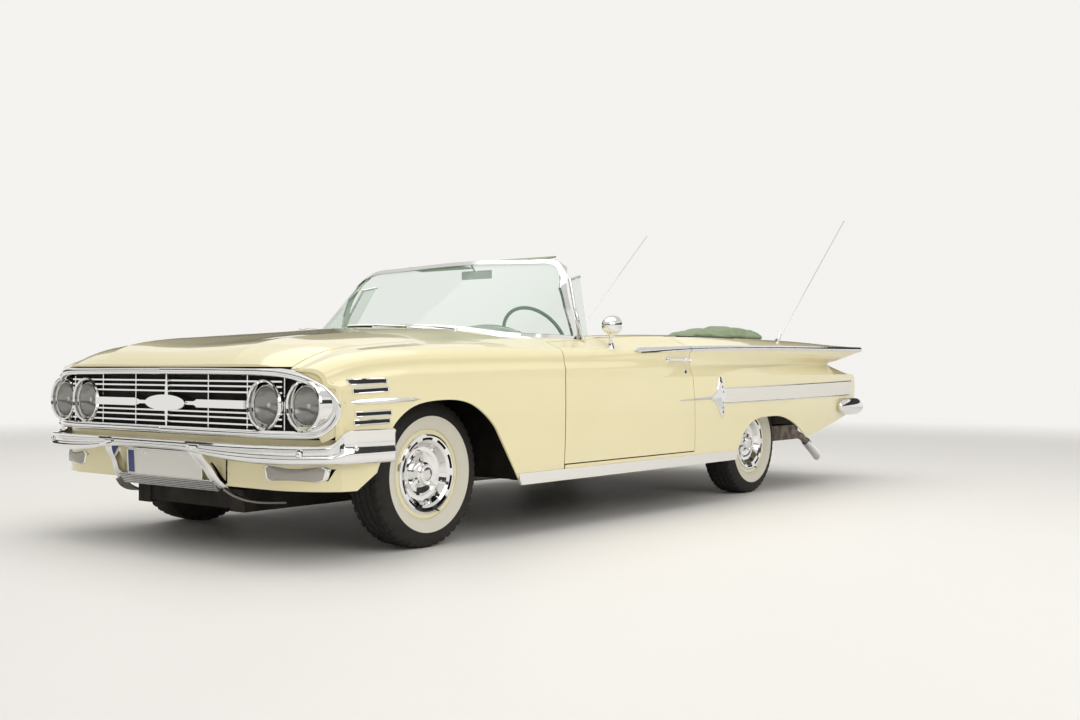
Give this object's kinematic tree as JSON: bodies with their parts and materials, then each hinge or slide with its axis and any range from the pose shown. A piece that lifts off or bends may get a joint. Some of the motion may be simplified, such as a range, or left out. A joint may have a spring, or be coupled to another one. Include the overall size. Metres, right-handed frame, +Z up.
{
  "type": "two-door convertible car",
  "caption": "Full-size two-door convertible of about 1960: fins, quad headlamps, wrapped windshield, folded top under a boot cover; opening doors, hood and deck lid, steered rolling wheels.",
  "frame": {"origin": "on the ground at the middle of the car's length and width", "axes": "+X forward, +Y to the car's left, +Z up"},
  "size_m": [5.354, 2.0444, 1.8753],
  "materials": {
    "body_paint": "gloss butter-yellow enamel",
    "stripe_paint": "gloss white enamel",
    "bright": "polished chrome plate",
    "glass_clear": "lightly green-tinted glass",
    "lamp_glass": "fluted clear glass",
    "lamp_red": "red lens",
    "black_steel": "semi-gloss black paint",
    "cast": "bare castings",
    "pipe_steel": "dull steel",
    "tank_steel": "galvanised sheet",
    "floor_paint": "sage paint and carpet",
    "trim_vinyl": "sage green vinyl",
    "dash_paint": "sage enamel",
    "boot_vinyl": "sage vinyl cover",
    "wheel_rim": "moulded steering wheel",
    "tyre_rubber": "black with a white sidewall band"
  },
  "bodies": {
    "car": {"frame": "black_steel", "floor_tub": "floor_paint", "inner_sides": "floor_paint", "inner_fenders": "black_steel", "cowl": "body_paint", "fender_left": "body_paint", "fender_right": "body_paint", "quarter_left": "body_paint", "quarter_right": "body_paint", "tail_panels": "body_paint", "body_trim": "bright", "side_stripes": "stripe_paint", "grille": "bright", "front_lamps": "lamp_glass", "bumper_front": "bright", "valance": "body_paint", "bumper_rear": "bright", "tail_lamps": "lamp_red", "windshield_frame": "bright", "windshield_glass": "glass_clear", "dashboard": "dash_paint", "seat_front": "trim_vinyl", "seat_rear": "trim_vinyl", "top_boot": "boot_vinyl", "sun_visors": "trim_vinyl", "exhaust": "pipe_steel", "fuel_tank": "tank_steel", "driveline": "cast", "engine": "cast", "front_suspension": "black_steel"},
    "hood": {"hood": "body_paint"},
    "deck_lid": {"deck_lid": "body_paint"},
    "door_left": {"door_left": "body_paint", "door_trim_left": "bright", "vent_glass_left": "glass_clear"},
    "door_right": {"door_right": "body_paint", "door_trim_right": "bright", "vent_glass_right": "glass_clear"},
    "steering_wheel": {"steering_wheel": "wheel_rim"},
    "knuckle_left": {"knuckle_left": "cast"},
    "knuckle_right": {"knuckle_right": "cast"},
    "wheel_front_left": {"tyre_front_left": "tyre_rubber", "wheel_front_left": "bright"},
    "wheel_front_right": {"tyre_front_right": "tyre_rubber", "wheel_front_right": "bright"},
    "wheel_rear_left": {"tyre_rear_left": "tyre_rubber", "wheel_rear_left": "bright"},
    "wheel_rear_right": {"tyre_rear_right": "tyre_rubber", "wheel_rear_right": "bright"}
  },
  "joints": [
    {"name": "door_left_hinge", "type": "hinge", "parent": "car", "child": "door_left", "pos_m": [1.09, 0.965, 0.5], "axis": [0, 0, -1], "range_deg": [0, 60]},
    {"name": "door_right_hinge", "type": "hinge", "parent": "car", "child": "door_right", "pos_m": [1.09, -0.965, 0.5], "axis": [0, 0, 1], "range_deg": [0, 60]},
    {"name": "hood_hinge", "type": "hinge", "parent": "car", "child": "hood", "pos_m": [1.415, 0, 0.9], "axis": [0, -1, 0], "range_deg": [0, 50]},
    {"name": "deck_lid_hinge", "type": "hinge", "parent": "car", "child": "deck_lid", "pos_m": [-1.605, 0, 0.955], "axis": [0, 1, 0], "range_deg": [0, 60]},
    {"name": "steering", "type": "hinge", "parent": "car", "child": "steering_wheel", "pos_m": [0.453, 0.37, 0.939], "axis": [-0.866, 0, 0.5], "range_deg": [-600, 600]},
    {"name": "knuckle_left_steer", "type": "hinge", "parent": "car", "child": "knuckle_left", "pos_m": [1.831, 0.69, 0.322], "axis": [0, 0, 1], "range_deg": [-30, 30]},
    {"name": "knuckle_right_steer", "type": "hinge", "parent": "car", "child": "knuckle_right", "pos_m": [1.831, -0.69, 0.322], "axis": [0, 0, 1], "range_deg": [-30, 30]},
    {"name": "wheel_front_left_spin", "type": "hinge", "parent": "knuckle_left", "child": "wheel_front_left", "pos_m": [1.831, 0.766, 0.322], "axis": [0, 1, 0], "continuous": true},
    {"name": "wheel_rear_left_spin", "type": "hinge", "parent": "car", "child": "wheel_rear_left", "pos_m": [-1.192, 0.753, 0.322], "axis": [0, 1, 0], "continuous": true},
    {"name": "wheel_front_right_spin", "type": "hinge", "parent": "knuckle_right", "child": "wheel_front_right", "pos_m": [1.831, -0.766, 0.322], "axis": [0, 1, 0], "continuous": true},
    {"name": "wheel_rear_right_spin", "type": "hinge", "parent": "car", "child": "wheel_rear_right", "pos_m": [-1.192, -0.753, 0.322], "axis": [0, 1, 0], "continuous": true}
  ],
  "couplings": [
    {"joint": "knuckle_left_steer", "follows": "steering", "ratio": 0.05},
    {"joint": "knuckle_right_steer", "follows": "steering", "ratio": 0.05}
  ]
}
